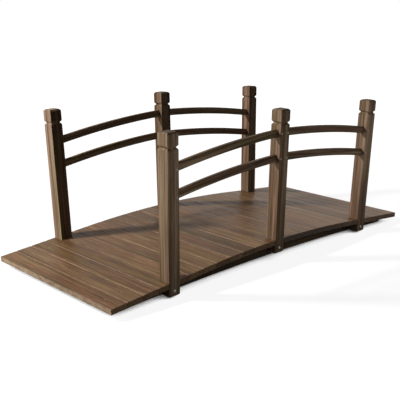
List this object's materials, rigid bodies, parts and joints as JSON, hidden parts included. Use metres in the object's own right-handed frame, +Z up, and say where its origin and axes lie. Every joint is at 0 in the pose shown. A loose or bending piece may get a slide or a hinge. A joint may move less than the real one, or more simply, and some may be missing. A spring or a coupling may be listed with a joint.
{
  "type": "arched wooden garden footbridge",
  "caption": "Low cambered garden footbridge with a deck of cross boards on arched side beams, square grooved posts and bowed double handrails, for walking over a dry stream bed or pond edge.",
  "frame": {"origin": "on the ground under the middle of the span, midway between the two sides", "axes": "+X along the bridge towards its right-hand end as the picture shows it, +Y across it towards the far side, +Z up"},
  "size_m": [1.5338, 0.6882, 0.5674],
  "materials": {
    "deck_wood": "satin brown stain with the grain showing through",
    "frame_wood": "matt dark brown stain with the grain showing through"
  },
  "bodies": {
    "root": {"deck_board_01": "deck_wood", "deck_board_02": "deck_wood", "deck_board_03": "deck_wood", "deck_board_04": "deck_wood", "deck_board_05": "deck_wood", "deck_board_06": "deck_wood", "deck_board_07": "deck_wood", "deck_board_08": "deck_wood", "deck_board_09": "deck_wood", "deck_board_10": "deck_wood", "deck_board_11": "deck_wood", "deck_board_12": "deck_wood", "deck_board_13": "deck_wood", "deck_board_14": "deck_wood", "deck_board_15": "deck_wood", "deck_board_16": "deck_wood", "deck_board_17": "deck_wood", "deck_board_18": "deck_wood", "deck_board_19": "deck_wood", "deck_board_20": "deck_wood", "deck_board_21": "deck_wood", "deck_board_22": "deck_wood", "deck_board_23": "deck_wood", "deck_board_24": "deck_wood", "near_beam": "frame_wood", "far_beam": "frame_wood", "near_left_post": "frame_wood", "near_middle_post": "frame_wood", "near_right_post": "frame_wood", "far_left_post": "frame_wood", "far_middle_post": "frame_wood", "far_right_post": "frame_wood", "near_left_upper_rail": "frame_wood", "near_left_lower_rail": "frame_wood", "near_right_upper_rail": "frame_wood", "near_right_lower_rail": "frame_wood", "far_left_upper_rail": "frame_wood", "far_left_lower_rail": "frame_wood", "far_right_upper_rail": "frame_wood", "far_right_lower_rail": "frame_wood"}
  },
  "joints": []
}
